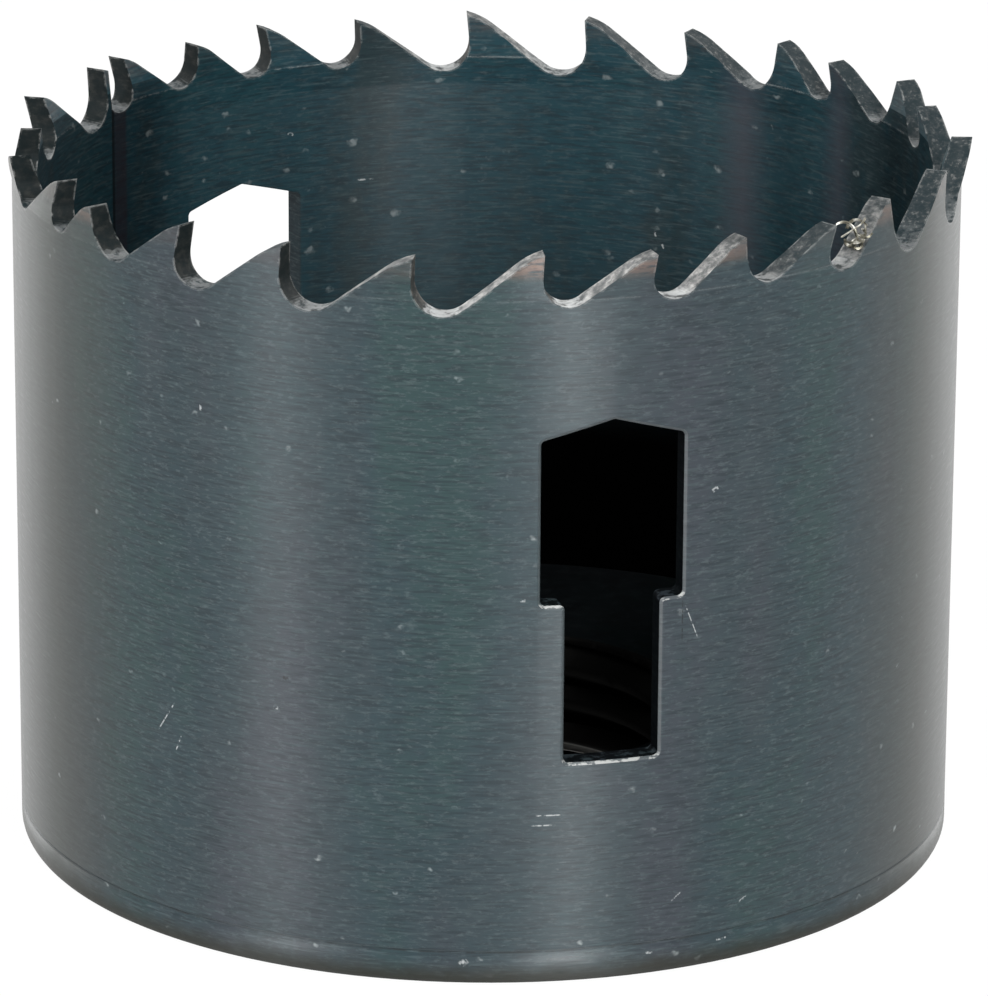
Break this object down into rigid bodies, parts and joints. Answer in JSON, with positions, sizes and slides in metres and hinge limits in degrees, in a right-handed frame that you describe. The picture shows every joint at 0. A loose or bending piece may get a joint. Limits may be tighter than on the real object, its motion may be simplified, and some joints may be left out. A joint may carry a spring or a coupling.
{
  "type": "hole saw",
  "caption": "Cup-shaped steel hole saw with set, variable-pitch teeth, two stepped side slots and a threaded end plate.",
  "frame": {"origin": "on the saw's axis, in the outer face of its end plate", "axes": "+Z along the saw's axis, from the end plate to the teeth; -Y through the middle of the first plug-ejection slot"},
  "size_m": [0.0362, 0.0361, 0.0276],
  "materials": {
    "coated_steel": "thin dark blue-grey enamel over brushed steel, semi-gloss, scuffed",
    "tooth_steel": "high-speed steel, bare on the cutting flanks, brown heat tint below them",
    "plate_steel": "the same dark enamel, bare steel in the threads"
  },
  "bodies": {
    "root": {"saw_shell": "coated_steel", "tooth_tips": "tooth_steel", "end_plate": "plate_steel"}
  },
  "joints": []
}
